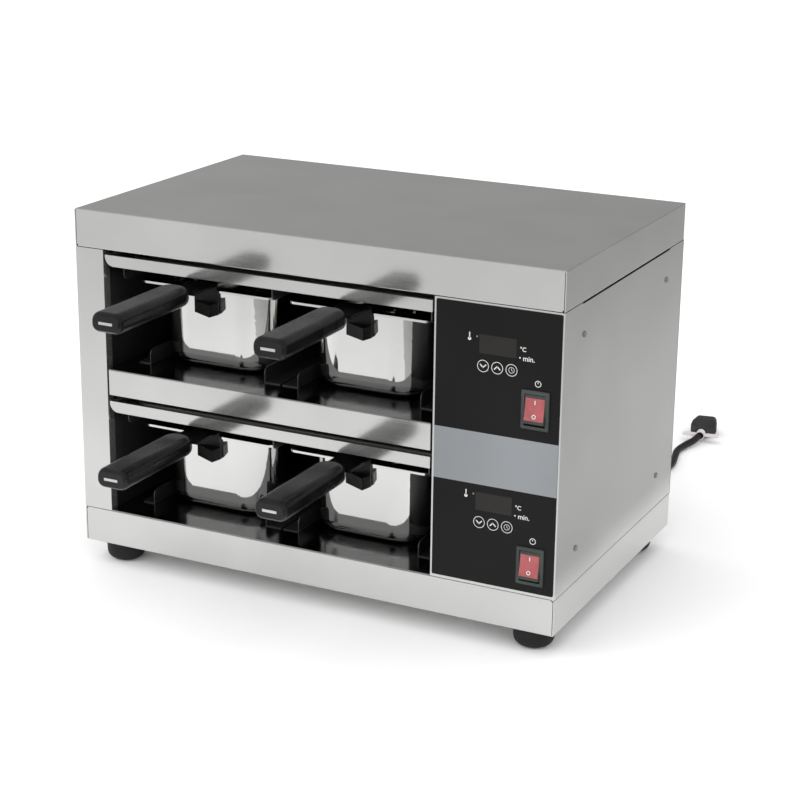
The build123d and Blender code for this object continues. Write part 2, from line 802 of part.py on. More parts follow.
def make_rocker(tier):
    """Rocker on its pin, with a pocket for the lens. The upper end is pressed in."""
    x, y, z = panel_point(rocker_x, rocker_drop, tier)
    well_w, well_h = rocker_well_half()
    half_w = well_w - rocker_gap
    end = rocker_crest + rocker_end_rise
    half_h = math.sqrt((well_h - rocker_gap) ** 2 - end ** 2)
    with BuildPart() as rocker:
        with BuildSketch(rocker_plane(x + half_w, z)):
            with BuildLine():
                Polyline((end, half_h), (-rocker_heel, half_h), (-rocker_heel, -half_h), (end, -half_h))
                ThreePointArc((end, -half_h), (rocker_crest, 0), (end, half_h))
            make_face()
        extrude(amount=2 * half_w)
        with BuildSketch(rocker_plane(x + rocker_lens_width / 2, z)):
            with Locations((end, 0)):
                Rectangle(2 * rocker_lens_depth, rocker_lens_height)
        extrude(amount=rocker_lens_width, mode=Mode.SUBTRACT)
        rod((x - well_w - rocker_wall + rocker_gap, front + rocker_pivot_depth, z), (1, 0, 0), rocker_pin_dia,
            2 * (well_w + rocker_wall - rocker_gap))
    keep(rocker.part, f"{tier_names[tier]}_power_rocker")


def make_rocker_lens(tier):
    """Clear red insert that stands a little proud of the rocker's hollow face."""
    x, y, z = panel_point(rocker_x, rocker_drop, tier)
    half_h = rocker_lens_height / 2
    back_face = rocker_crest + rocker_end_rise - rocker_lens_depth
    edge = rocker_crest + rocker_lens_rise + rocker_lens_proud
    with BuildPart() as lens:
        with BuildSketch(rocker_plane(x + rocker_lens_width / 2, z)):
            with BuildLine():
                Polyline((edge, half_h), (back_face, half_h), (back_face, -half_h), (edge, -half_h))
                ThreePointArc((edge, -half_h), (rocker_crest + rocker_lens_proud, 0), (edge, half_h))
            make_face()
        extrude(amount=rocker_lens_width)
    keep(lens.part, f"{tier_names[tier]}_rocker_lens")


# ---- electronics ----
def control_board(tier):
    """Board with its display module, key switches and lamp in front and its bulky parts behind."""
    x, y, z = panel_point(board_x, board_drop, tier)
    half_w = board_width / 2
    half_h = board_height / 2
    behind = board_front + board_thickness
    with BuildPart() as board:
        block((x - half_w, x + half_w), (board_front, behind), (z - half_h, z + half_h))
        module_z = body_top - display_drop - tier_drop(tier)
        block((display_x - display_width / 2, display_x + display_width / 2),
              (panel_back + board_air, board_front),
              (module_z - display_height / 2, module_z + display_height / 2))
        for x_key in key_x:
            place = panel_point(x_key, key_drop, tier, board_front - key_switch_height)
            rod(place, (0, 1, 0), key_switch_dia, key_switch_height)
        lamp = panel_point(led_x, led_drop, tier, front - overlay_sheet + display_recess)
        rod(lamp, (0, 1, 0), led_dia - 2 * board_lamp_clear, board_front - lamp[1])
        for dx, dz, w, h, d in board_parts:
            block((x + dx - w / 2, x + dx + w / 2), (behind, behind + d), (z + dz - h / 2, z + dz + h / 2))
        for place in standoff_places(tier):
            rod((place[0], board_front, place[2]), (0, 1, 0), board_hole_dia, board_thickness, Mode.SUBTRACT)
    return board.part


def make_control_boards():
    with BuildPart() as boards:
        for tier in range(tier_count):
            add(control_board(tier))
    keep(boards.part, "control_boards")


def standoff_places(tier):
    x, y, z = panel_point(board_x, board_drop, tier)
    for side in (-1, 1):
        for level in (-1, 1):
            yield (x + side * (board_width / 2 - board_hole_inset), panel_back,
                   z + level * (board_height / 2 - board_hole_inset))


def make_standoffs():
    """Spacers between the fascia and the two boards, each with a screw through the board."""
    with BuildPart() as spacers:
        for tier in range(tier_count):
            for place in standoff_places(tier):
                rod(place, (0, 1, 0), board_standoff_dia, board_gap)
                rod((place[0], board_front, place[2]), (0, 1, 0), board_hole_dia - 2 * screw_clear,
                    board_thickness)
                rod((place[0], board_front + board_thickness, place[2]), (0, 1, 0), board_standoff_dia,
                    screw_head_height)
    keep(spacers.part, "board_standoffs")


def make_terminal_block():
    """Screw terminals on the base's floor, where the cord meets the inner wiring."""
    low = body_floor + sheet
    high = low + terminal_block_height
    half = terminal_block_depth / 2
    start = terminal_block_y - terminal_block_length / 2
    way = terminal_block_length / terminal_ways
    with BuildPart() as terminals:
        block((terminal_block_x - half, terminal_block_x + half), (start, start + terminal_block_length),
              (low, high))
        for k in range(terminal_ways - 1):
            y = start + (k + 1) * way
            block((terminal_block_x - half, terminal_block_x + half),
                  (y - terminal_slot / 2, y + terminal_slot / 2), (high - terminal_slot_depth, high),
                  Mode.SUBTRACT)
        for k in range(terminal_ways):
            rod((terminal_block_x, start + (k + 0.5) * way, high - terminal_slot_depth), (0, 0, 1),
                terminal_screw_dia, terminal_slot_depth, Mode.SUBTRACT)
    keep(terminals.part, "terminal_block")


def make_probes():
    """Temperature probes through the wall of the compartment, one for each tier."""
    with BuildPart() as probes:
        for floor in tier_floor:
            z = floor + probe_height
            rod((bay_right - probe_reach, probe_y, z), (1, 0, 0), probe_dia, probe_reach + sheet)
            rod((liner_right, probe_y, z), (1, 0, 0), probe_nut_dia, probe_nut_length)
    keep(probes.part, "temperature_probes")


def lead(points, radii, diameter, name):
    """Round lead along straight runs joined by arcs, as a piece of its own."""
    with BuildPart() as tube:
        with BuildLine() as path:
            FilletPolyline(*points, radius=radii)
        with BuildSketch(Plane(origin=path.line @ 0, z_dir=path.line % 0)):
            Circle(diameter / 2)
        sweep()
    if name:
        keep(tube.part, name)
    return tube.part


def make_wiring_loom():
    """Leads from the elements' rear ends down to the terminals, and the cord's end from the gland."""
    x_tip = liner_right + 2 * terminal_length
    top = body_floor + sheet + terminal_block_height
    start = terminal_block_y - terminal_block_length / 2
    way = terminal_block_length / terminal_ways
    rear = element_ends()[1]
    with BuildPart() as loom:
        for k, level in enumerate(element_levels()):
            x_drop = x_tip + lead_reach + k * lead_pitch
            y_end = start + (k + 0.5) * way
            z_run = top + lead_rise + k * lead_pitch
            points = ((x_tip, rear, level), (x_drop, rear, level), (x_drop, rear, z_run),
                      (x_drop, y_end, z_run), (terminal_block_x, y_end, z_run),
                      (terminal_block_x, y_end, top - terminal_slot_depth))
            add(lead(points, lead_bend, lead_dia, ""))
        low = body_floor + sheet + terminal_block_height / 2
        points = ((gland_x, back - sheet - gland_inside, gland_height),
                  (gland_x, back - inner_cord_run, gland_height),
                  (terminal_block_x, start + terminal_block_length + inner_cord_run, low),
                  (terminal_block_x, start + terminal_block_length, low))
        add(lead(points, inner_cord_bend, cord_dia, ""))
    keep(loom.part, "wiring_loom")


# ---- feet and fasteners ----
def foot_place(side_x, side_y, z):
    return (side_x * (right - foot_inset_x), middle + side_y * (body_depth / 2 - foot_inset_y), z)


def make_feet():
    with BuildPart() as feet:
        for side_x in (-1, 1):
            for side_y in (-1, 1):
                x, y, z = foot_place(side_x, side_y, 0)
                section = Plane(origin=(x, y, 0), x_dir=(1, 0, 0), z_dir=(0, -1, 0))
                shoulder = (foot_dia / 2, foot_height - foot_wall)
                with BuildSketch(section):
                    with BuildLine():
                        Polyline((0, foot_height), (0, 0), (foot_sole_dia / 2, 0))
                        Spline((foot_sole_dia / 2, 0), shoulder, tangents=((1, 0.15), (0, 1)))
                        Polyline(shoulder, (foot_dia / 2, foot_height), (0, foot_height))
                    make_face()
                revolve(axis=Axis((x, y, 0), (0, 0, 1)))
                rod((x, y, foot_height - foot_bolt_length), (0, 0, 1), foot_bolt_dia + 2 * screw_clear,
                    foot_bolt_length, Mode.SUBTRACT)
    keep(feet.part, "feet")


def make_screws():
    """Screws of the side panels, and bolts down through the base's floor into the feet."""
    with BuildPart() as screws:
        for side in (-1, 1):
            for place in side_screw_places(side):
                rod(place, (-side, 0, 0), screw_shank_dia, screw_shank_length)
                rod(place, (side, 0, 0), screw_head_dia, screw_head_height)
        heads = screws.edges().filter_by(GeomType.CIRCLE).filter_by(lambda e: abs(e.center().X) > right + 1)
        fillet(heads, screw_head_round)
        for side_x in (-1, 1):
            for side_y in (-1, 1):
                x, y, z = foot_place(side_x, side_y, foot_height - foot_bolt_length)
                rod((x, y, z), (0, 0, 1), foot_bolt_dia - 2 * screw_clear, foot_bolt_length + sheet)
                rod((x, y, foot_height + sheet), (0, 0, 1), foot_bolt_head_dia, foot_bolt_head_height)
    keep(screws.part, "screws")


# ---- mains cord ----
cord_in = (
    (gland_x, back + gland_proud + relief_length, gland_height),
    (gland_x, back + 62, gland_height - 2),
    (gland_x - 1, back + 90, gland_height - 15),
    (gland_x - 7, back + 113, gland_height - 39),
    (gland_x - 20, back + 133, 33),
    (gland_x - 43, back + 149, 18),
    (gland_x - 71, back + 154, coil_top),
    (gland_x - 97, back + 149, coil_top),
)
cord_out = (
    (gland_x - 61.5, back + 84, cord_low),
    (gland_x - 56, back + 110, cord_low),
    (gland_x - 45, back + 150, cord_low),
    (gland_x - 31, back + 190, cord_low),
    (gland_x - 17, back + 234, cord_low),
    (gland_x - 11, back + 270, cord_low),
    (gland_x - 18, back + 303, cord_low),
    (gland_x - 25, back + 331, cord_low),
    (gland_x - 21, back + 358, cord_low + 1),
    (gland_x - 12, back + 378, cord_low + 4),
    (plug_x, plug_y, plug_height / 2),
)


def make_gland():
    with BuildPart() as gland:
        rod((gland_x, back - sheet, gland_height), (0, 1, 0), gland_dia, sheet)
        rod((gland_x, back, gland_height), (0, 1, 0), gland_flange_dia, gland_proud)
        rod((gland_x, back - sheet, gland_height), (0, -1, 0), gland_flange_dia, gland_inside)
    keep(gland.part, "cable_gland")


def make_strain_relief():
    """Tapered sleeve out of the gland."""
    start = Plane(origin=(gland_x, back + gland_proud, gland_height), z_dir=(0, 1, 0))
    with BuildPart() as relief:
        with BuildSketch(start):
            Circle(relief_root_dia / 2)
        with BuildSketch(start.offset(relief_length)):
            Circle(relief_tip_dia / 2)
        loft()
        for k in range(relief_grooves):
            y = back + gland_proud + relief_length * (k + 1) / (relief_grooves + 1)
            groove = Plane(origin=(gland_x, y - relief_groove / 2, gland_height), z_dir=(0, 1, 0))
            with BuildSketch(groove):
                Circle(relief_root_dia)
                Circle(relief_tip_dia / 2 - relief_groove / 2, mode=Mode.SUBTRACT)
            extrude(amount=relief_groove, mode=Mode.SUBTRACT)
    keep(relief.part, "cord_strain_relief")


def bend_radii(points):
    """Bend radius at each inner point: 0.45 of the shorter run over the tangent of half the turn."""
    radii = []
    for a, b, c in zip(points, points[1:], points[2:]):
        first = Vector(*b) - Vector(*a)
        second = Vector(*c) - Vector(*b)
        half_turn = math.radians(first.get_angle(second)) / 2
        radii.append(0.45 * min(first.length, second.length) / math.tan(half_turn))
    return radii


def make_cord(points, name):
    radii = bend_radii(points)
    tube = lead(points, radii, cord_dia, name)
    length = tube.volume / (math.pi * cord_dia ** 2 / 4)
    print(name, "radii", [round(r, 1) for r in radii], "length", round(length, 1))


def make_coil():
    """Outer shape of the coil that the unseen length is put away in."""
    inner = coil_mean_dia / 2 - cord_dia
    outer = coil_mean_dia / 2 + cord_dia
    with BuildPart() as coil:
        with BuildSketch(Plane.XY):
            with Locations((coil_x, coil_y)):
                Circle(outer)
                Circle(inner, mode=Mode.SUBTRACT)
        extrude(amount=2 * cord_dia)
        rims = coil.edges().filter_by(GeomType.CIRCLE)
        fillet(rims, coil_edge_round)
    keep(coil.part, "cord_coil")


def plug_frame():
    """Plane across the plug at its neck, with its normal along the plug."""
    heading = math.radians(plug_heading)
    return Plane(origin=(plug_x, plug_y, plug_height / 2), x_dir=(math.cos(heading), -math.sin(heading), 0),
                 z_dir=(math.sin(heading), math.cos(heading), 0))


def make_plug():
    neck = plug_frame()
    with BuildPart() as plug:
        for share, width, height in plug_sections:
            with BuildSketch(neck.offset(share * plug_length)):
                RectangleRounded(width, height, min(width, height) * plug_corner)
        loft(ruled=True)
    keep(plug.part, "plug_body")


def make_plug_pins():
    face = plug_frame().offset(plug_length)
    with BuildPart() as pins:
        with BuildSketch(face):
            with GridLocations(2 * plug_pin_pitch, 0, 2, 1):
                Circle(plug_pin_dia / 2)
            with Locations((0, plug_earth_offset)):
                Circle(plug_pin_dia / 2)
        extrude(amount=plug_pin_length)
    keep(pins.part, "plug_pins")


def make_cord_tag():
    """Bare flag on a sleeve round the cord, just before the plug."""
    start = plug_frame().offset(-tag_gap - tag_width)
    with BuildPart() as tag:
        with BuildSketch(start):
            Circle(cord_dia / 2 + tag_clear + tag_thickness)
            Rectangle(tag_length, tag_thickness)
            Circle(cord_dia / 2 + tag_clear, mode=Mode.SUBTRACT)
        extrude(amount=tag_width)
    keep(tag.part, "cord_tag")


os.makedirs("parts", exist_ok=True)
make_base_tray()
make_top_cover()
make_left_side_panel()
make_right_side_panel()
make_left_liner()
make_compartment_wall()
make_back_panel()
for tier in range(tier_count):
    make_heater_tray(tier)
    make_hot_plate(tier)
    make_rocker(tier)
    make_rocker_lens(tier)
    for index in range(len(key_names)):
        make_key(tier, index)
    for pan_index, pan_side in enumerate(pan_side_names):
        place = f"{tier_names[tier]}_{pan_side}"
        make_pan(pan_x[pan_index], tier_floor[tier], f"{place}_pan")
        make_bracket(pan_x[pan_index], tier_floor[tier], f"{place}_handle_bracket")
        make_grip(pan_x[pan_index], tier_floor[tier], f"{place}_grip")
make_divider_tray()
make_elements(element_levels()[:tier_count], "floor_elements")
make_elements(element_levels()[tier_count:], "roof_elements")
make_tray_rails()
make_floor_guides()
make_upper_guides()
make_display_windows()
make_rocker_frames()
make_control_boards()
make_control_fascia()
make_overlay()
make_label_band()
make_standoffs()
make_terminal_block()
make_probes()
make_wiring_loom()
make_feet()
make_screws()
make_gland()
make_strain_relief()
make_cord(cord_in, "supply_cord_in")
make_coil()
make_cord(cord_out, "supply_cord_out")
make_plug()
make_plug_pins()
make_cord_tag()
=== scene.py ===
import math

import bmesh
import bpy
from mathutils import Matrix, Vector


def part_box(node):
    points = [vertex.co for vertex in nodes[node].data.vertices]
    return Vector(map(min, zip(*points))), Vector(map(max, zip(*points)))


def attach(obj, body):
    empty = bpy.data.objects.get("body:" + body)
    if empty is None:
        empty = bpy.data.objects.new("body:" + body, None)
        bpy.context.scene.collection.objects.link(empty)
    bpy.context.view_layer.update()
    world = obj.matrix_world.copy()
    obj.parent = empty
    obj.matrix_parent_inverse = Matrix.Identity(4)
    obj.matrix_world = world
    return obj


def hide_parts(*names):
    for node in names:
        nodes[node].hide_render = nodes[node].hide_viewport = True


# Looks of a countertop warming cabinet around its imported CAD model. Metres. X runs across the front,
# Y from the front to the back and Z up from the surface that the cabinet stands on.

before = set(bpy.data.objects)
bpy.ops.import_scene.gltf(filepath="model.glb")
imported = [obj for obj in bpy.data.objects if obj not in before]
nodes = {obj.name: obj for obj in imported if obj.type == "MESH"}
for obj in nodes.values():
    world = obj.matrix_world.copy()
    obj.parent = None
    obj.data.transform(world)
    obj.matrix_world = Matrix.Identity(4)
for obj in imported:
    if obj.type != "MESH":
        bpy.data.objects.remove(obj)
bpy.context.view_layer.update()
MM = 0.001

# ---- places read from the frame ----
body_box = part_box("base_tray")
FRONT = body_box[0].y
BACK = body_box[1].y
RIGHT = body_box[1].x
BODY_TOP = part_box("top_cover")[1].z
PANEL_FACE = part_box("control_overlay")[0].y

# ---- camera ----
CAMERA_AZIMUTH = math.radians(26.182)
CAMERA_ELEVATION = math.radians(17.885)
CAMERA_ROLL = math.radians(0.713)
CAMERA_PLACE = Vector((1.00465, FRONT - 1.81075, BODY_TOP + 0.48629))
CAMERA_SENSOR = 36.0          # millimetres, as is the focal length
CAMERA_FOCUS = 89.09
CAMERA_FAR = 50.0             # metres


def make_camera():
    """The camera that the photograph was taken with, fitted to the cabinet's edges."""
    level = math.cos(CAMERA_ELEVATION)
    back = Vector((math.sin(CAMERA_AZIMUTH) * level, -math.cos(CAMERA_AZIMUTH) * level,
                   math.sin(CAMERA_ELEVATION)))
    side = Vector((math.cos(CAMERA_AZIMUTH), math.sin(CAMERA_AZIMUTH), 0))
    up = back.cross(side)
    right = math.cos(CAMERA_ROLL) * side + math.sin(CAMERA_ROLL) * up
    upright = -math.sin(CAMERA_ROLL) * side + math.cos(CAMERA_ROLL) * up
    data = bpy.data.cameras.new("camera")
    data.sensor_width = CAMERA_SENSOR
    data.lens = CAMERA_FOCUS
    data.clip_end = CAMERA_FAR
    camera = bpy.data.objects.new("camera", data)
    turn = Matrix((right, upright, back)).transposed().to_4x4()
    camera.matrix_world = Matrix.Translation(CAMERA_PLACE) @ turn
    bpy.context.scene.collection.objects.link(camera)
    bpy.context.scene.camera = camera


# ---- node helpers ----
MIX_FACTOR = 0                # sockets of a Mix node, by place: its factor,
MIX_VALUES = (2, 3)           # its two numbers,
MIX_NUMBER = 0                # the number that comes out,
MIX_COLOURS = (6, 7)          # its two colours,
MIX_COLOUR = 2                # and the colour that comes out
NOISE_MIDDLE = (0.35, 0.65)


def map_range(tree, value, low, high, start, end):
    """Map a value socket from one range onto another."""
    node = tree.nodes.new("ShaderNodeMapRange")
    node.inputs["From Min"].default_value = start
    node.inputs["From Max"].default_value = end
    node.inputs["To Min"].default_value = low
    node.inputs["To Max"].default_value = high
    tree.links.new(value, node.inputs["Value"])
    return node.outputs["Result"]


class Nodes:
    """A material's node tree, with short calls for the nodes that are used here."""

    def __init__(self, name):
        self.material = bpy.data.materials.new(name)
        self.material.use_nodes = True
        self.tree = self.material.node_tree
        self.shader = self.tree.nodes["Principled BSDF"]
        self.coords = None

    def add(self, kind, **settings):
        node = self.tree.nodes.new(kind)
        for key, value in settings.items():
            setattr(node, key, value)
        return node

    def link(self, start, end):
        self.tree.links.new(start, end)

    def place(self, scale=(1, 1, 1)):
        """Object coordinates, which are the row frame's, stretched by a scale."""
        if self.coords is None:
            self.coords = self.add("ShaderNodeTexCoord")
        mapping = self.add("ShaderNodeMapping")
        mapping.inputs["Scale"].default_value = scale
        self.link(self.coords.outputs["Object"], mapping.inputs["Vector"])
        return mapping.outputs["Vector"]

    def axes(self):
        """Object coordinates along each axis, by name."""
        split = self.add("ShaderNodeSeparateXYZ")
        self.link(self.place(), split.inputs["Vector"])
        return split.outputs

    def noise(self, scale, stretch=(1, 1, 1), detail=3.0, roughness=0.5):
        node = self.add("ShaderNodeTexNoise")
        node.inputs["Scale"].default_value = scale
        node.inputs["Detail"].default_value = detail
        node.inputs["Roughness"].default_value = roughness
        self.link(self.place(stretch), node.inputs["Vector"])
        return node.outputs["Fac"]

    def spread(self, noise, low, high):
        """Map the middle of a noise value's range, where most of it lies, onto a range."""
        return map_range(self.tree, noise, low, high, *NOISE_MIDDLE)

    def blend(self, factor, first, second):
        """Colour between two colours by a factor socket."""
        node = self.add("ShaderNodeMix", data_type="RGBA")
        self.link(factor, node.inputs[MIX_FACTOR])
        for index, colour in zip(MIX_COLOURS, (first, second)):
            if isinstance(colour, tuple):
                node.inputs[index].default_value = (*colour, 1)
            else:
                self.link(colour, node.inputs[index])
        return node.outputs[MIX_COLOUR]

    def mottle(self, noise, first, second):
        """Colour that drifts between two colours with a noise value."""
        return self.blend(self.spread(noise, 0.0, 1.0), first, second)

    def combine(self, operation, first, second):
        """Product or comparison of a socket with another socket or a number."""
        node = self.add("ShaderNodeMath", operation=operation)
        self.link(first, node.inputs[0])
        if isinstance(second, bpy.types.NodeSocket):
            self.link(second, node.inputs[1])
        else:
            node.inputs[1].default_value = second
        return node.outputs["Value"]

    def specular(self, level):
        self.shader.inputs["Specular IOR Level"].default_value = level

    def bump(self, height, distance, strength):
        node = self.add("ShaderNodeBump")
        node.inputs["Distance"].default_value = distance
        node.inputs["Strength"].default_value = strength
        self.link(height, node.inputs["Height"])
        self.link(node.outputs["Normal"], self.shader.inputs["Normal"])

    def set(self, **values):
        """Set shader inputs by name to a number, a colour or a socket."""
        for key, value in values.items():
            socket = self.shader.inputs[key.replace("_", " ").title()]
            if isinstance(value, bpy.types.NodeSocket):
                self.link(value, socket)
            else:
                socket.default_value = (*value, 1) if isinstance(value, tuple) else value


def shade(colour, factor, lift=0.0):
    """A colour made darker or paler, held under one."""
    return tuple(min(1.0, c * factor + lift) for c in colour)


# ---- kinds of surface ----
GRAIN_ALONG_X = (3, 1500, 1500)
GRAIN_ALONG_Y = (1500, 3, 1500)
STEEL_METALLIC = 0.9          # leaves a little of the plain grey that a brushed face scatters
STEEL_ROUGH_SPREAD = 0.03
STEEL_GRAIN_DEPTH = 0.00001


def steel(name, colour, rough, grain=GRAIN_ALONG_X):
    """Satin sheet steel: fine grain along one direction, with soft clouds in tone and gloss."""
    mat = Nodes(name)
    clouds = mat.noise(scale=9.0, detail=2.0)
    lines = mat.noise(scale=1.0, stretch=grain, detail=4.0, roughness=0.6)
    mat.set(base_color=mat.mottle(clouds, shade(colour, factor=0.93), colour), metallic=STEEL_METALLIC)
    mat.set(roughness=mat.spread(lines, rough - STEEL_ROUGH_SPREAD, rough + STEEL_ROUGH_SPREAD))
    mat.bump(lines, distance=STEEL_GRAIN_DEPTH, strength=0.15)
    return mat.material


def polished(name, colour, rough):
    """Drawn bright steel, with faint marks from the press and from washing."""
    mat = Nodes(name)
    clouds = mat.noise(scale=14.0, detail=3.0)
    marks = mat.noise(scale=60.0, stretch=(1, 1, 6), detail=5.0)
    mat.set(base_color=mat.mottle(clouds, shade(colour, factor=0.95), colour), metallic=1.0)
    mat.set(roughness=mat.spread(marks, rough * 0.7, rough * 1.4))
    mat.bump(clouds, distance=0.0002, strength=0.12)
    return mat.material


MOULD_ROUGH_SPREAD = 0.05
MOULD_GRAIN_DEPTH = 0.00005


def moulded(name, colour, rough, grain=1800.0, gloss=0.25, patch=None):
    """Moulded or painted surface with a fine grain and slightly uneven gloss.

    A patch is a limit on Y and a colour: what lies ahead of the limit is bare metal of that colour.
    """
    mat = Nodes(name)
    fine = mat.noise(scale=grain, detail=2.0)
    clouds = mat.noise(scale=25.0, detail=2.0)
    base = mat.mottle(clouds, colour, shade(colour, factor=1.35, lift=0.003))
    if patch:
        limit, bare = patch
        mask = mat.combine("LESS_THAN", mat.axes()["Y"], limit)
        base = mat.blend(mask, base, bare)
        mat.set(metallic=mask)
    mat.set(base_color=base)
    mat.set(roughness=mat.spread(clouds, rough - MOULD_ROUGH_SPREAD, rough + MOULD_ROUGH_SPREAD))
    mat.specular(gloss)
    mat.bump(fine, distance=MOULD_GRAIN_DEPTH, strength=0.5)
    return mat.material


def film(name, colour, rough):
    """Printed polyester film with a very fine pebbled face."""
    mat = Nodes(name)
    fine = mat.noise(scale=2600.0, detail=1.0)
    soft = mat.noise(scale=7.0, detail=1.0)
    mat.set(base_color=mat.mottle(soft, colour, shade(colour, factor=1.12, lift=0.001)), roughness=rough)
    mat.specular(0.15)
    mat.bump(fine, distance=0.00002, strength=0.3)
    return mat.material


def lens(name, colour):
    """Red insert with streaks of depth under a glossy coat."""
    mat = Nodes(name)
    depth = mat.noise(scale=160.0, stretch=(1, 0.2, 1), detail=2.0)
    mat.set(base_color=mat.mottle(depth, colour, shade(colour, factor=1.25)), roughness=0.28)
    mat.set(coat_weight=0.6, coat_roughness=0.12)
    mat.bump(depth, distance=0.00003, strength=0.3)
    return mat.material


def ink(name, colour):
    """Screen-printed ink, slightly uneven."""
    mat = Nodes(name)
    fine = mat.noise(scale=900.0, detail=2.0)
    mat.set(base_color=mat.mottle(fine, shade(colour, factor=0.92), colour), roughness=0.5)
    return mat.material


# ---- materials of the CAD nodes ----
TIERS = ("lower", "upper")
SIDES = ("left", "right")
GRIP_REACH = 158 * MM
TANG_END = 0.3 * MM           # the tang's bare end face lies within this of the grip's front
LAMP_END = 1.0 * MM           # the lamp's end lies within this of the panel's face


def dress(material, *names):
    """Give a material to CAD nodes."""
    for name in names:
        slots = nodes[name].data.materials
        slots.clear()
        slots.append(material)


def dress_cabinet():
    skin = steel("satin_skin", (0.60, 0.60, 0.59), rough=0.13)
    side_skin = steel("satin_side", (0.60, 0.60, 0.59), rough=0.14, grain=GRAIN_ALONG_Y)
    inner = steel("inner_skin", (0.07, 0.07, 0.07), rough=0.38, grain=GRAIN_ALONG_Y)
    guide = steel("guide_steel", (0.10, 0.10, 0.10), rough=0.34, grain=GRAIN_ALONG_Y)
    plate = polished("plate_steel", (0.22, 0.22, 0.22), rough=0.14)
    sheath = steel("sheath", (0.24, 0.22, 0.20), rough=0.45)
    dress(skin, "top_cover", "base_tray", "left_side_panel", "control_fascia", "divider_tray",
          "lower_heater_tray", "upper_heater_tray")
    dress(side_skin, "right_side_panel")
    dress(inner, "left_liner", "compartment_wall", "back_panel", "tray_rails")
    dress(guide, "floor_guides", "upper_guides")
    dress(plate, "lower_hot_plate", "upper_hot_plate")
    dress(sheath, "floor_elements", "roof_elements")


def dress_pans():
    pan = polished("pan_steel", (0.69, 0.69, 0.68), rough=0.05)
    bare_tang = (FRONT - GRIP_REACH + TANG_END, (0.62, 0.62, 0.61))
    bracket = moulded("bracket_paint", (0.003, 0.003, 0.003), rough=0.32, grain=900.0, gloss=0.15,
                      patch=bare_tang)
    grip = moulded("grip_plastic", (0.004, 0.004, 0.004), rough=0.26, grain=1400.0, gloss=0.30)
    for tier in TIERS:
        for side in SIDES:
            dress(pan, f"{tier}_{side}_pan")
            dress(bracket, f"{tier}_{side}_handle_bracket")
            dress(grip, f"{tier}_{side}_grip")


def dress_controls():
    keys = [f"{tier}_{key}_key" for tier in TIERS for key in KEY_PLACES]
    rockers = [f"{tier}_power_rocker" for tier in TIERS]
    lenses = [f"{tier}_rocker_lens" for tier in TIERS]
    lamp = (PANEL_FACE + LAMP_END, (0.30, 0.30, 0.29))
    dress(film("black_film", (0.0055, 0.005, 0.005), rough=0.42), "control_overlay", *keys)
    dress(film("grey_film", (0.195, 0.205, 0.215), rough=0.45), "label_band")
    dress(film("display_film", (0.018, 0.017, 0.015), rough=0.30), "display_windows")
    dress(moulded("rocker_plastic", (0.030, 0.035, 0.032), rough=0.38, grain=1200.0, gloss=0.3),
          "rocker_frames", *rockers)
    dress(lens("rocker_lens", (0.27, 0.050, 0.055)), *lenses)
    dress(moulded("board", (0.03, 0.16, 0.07), rough=0.5, patch=lamp), "control_boards")
    dress(steel("zinc", (0.62, 0.62, 0.63), rough=0.35), "board_standoffs", "temperature_probes")
    dress(steel("screw_zinc", (0.34, 0.34, 0.34), rough=0.22), "screws")
    dress(moulded("terminal_plastic", (0.66, 0.64, 0.58), rough=0.45), "terminal_block")
    dress(moulded("sleeving", (0.35, 0.08, 0.05), rough=0.7, grain=2600.0), "wiring_loom")
    dress(moulded("foot_rubber", (0.006, 0.006, 0.006), rough=0.62), "feet")


def dress_cord_parts():
    dress(moulded("gland_nylon", (0.018, 0.018, 0.018), rough=0.42), "cable_gland", "cord_strain_relief")
    dress(moulded("plug_rubber", (0.018, 0.018, 0.018), rough=0.50), "plug_body")
    dress(polished("pin_nickel", (0.66, 0.64, 0.60), rough=0.18), "plug_pins")
    dress(film("tag_film", (0.62, 0.56, 0.57), rough=0.35), "cord_tag")


# ---- mains cord ----
CORD_DIAMETER = 9.5 * MM
CORD_LOW = CORD_DIAMETER / 2
COIL_TOP = CORD_DIAMETER * 1.5
COIL_RADIUS = 52 * MM
COIL_INNER = COIL_RADIUS - CORD_LOW
COIL_OUTER = COIL_RADIUS + CORD_LOW
COIL_CENTRE = Vector((108 * MM, BACK + 96 * MM))
# Points across, behind the cabinet's back and up, in millimetres: from the strain relief to the coil,
CORD_IN = ((225, 38, 95), (225, 62, 93), (224, 90, 80), (218, 113, 56), (205, 133, 33), (182, 149, 18),
           (154, 154, 14.25))
# and from the coil to the plug's neck.
CORD_OUT = ((169, 110, 4.75), (180, 150, 4.75), (194, 190, 4.75), (208, 234, 4.75), (214, 270, 4.75),
            (207, 303, 4.75), (200, 331, 4.75), (204, 358, 5.75), (213, 378, 8.75), (212, 402, 11))
# The coil's course in degrees, counter-clockwise from above.
COIL_START = 68
UPPER_TURN_END = 428          # up to here the upper layer winds inwards
LOWER_LAYER = 500             # from here on the cord lies on the floor
UNWIND_START = 700            # between these two it runs outwards again
UNWIND_END = 785
COIL_END = 1052
COIL_STEPS = 50


def behind(route):
    return [Vector((x * MM, BACK + y * MM, z * MM)) for x, y, z in route]


def progress(value, start, end):
    """Nought up to a start, one from an end on, and even between them."""
    return min(1.0, max(0.0, (value - start) / (end - start)))


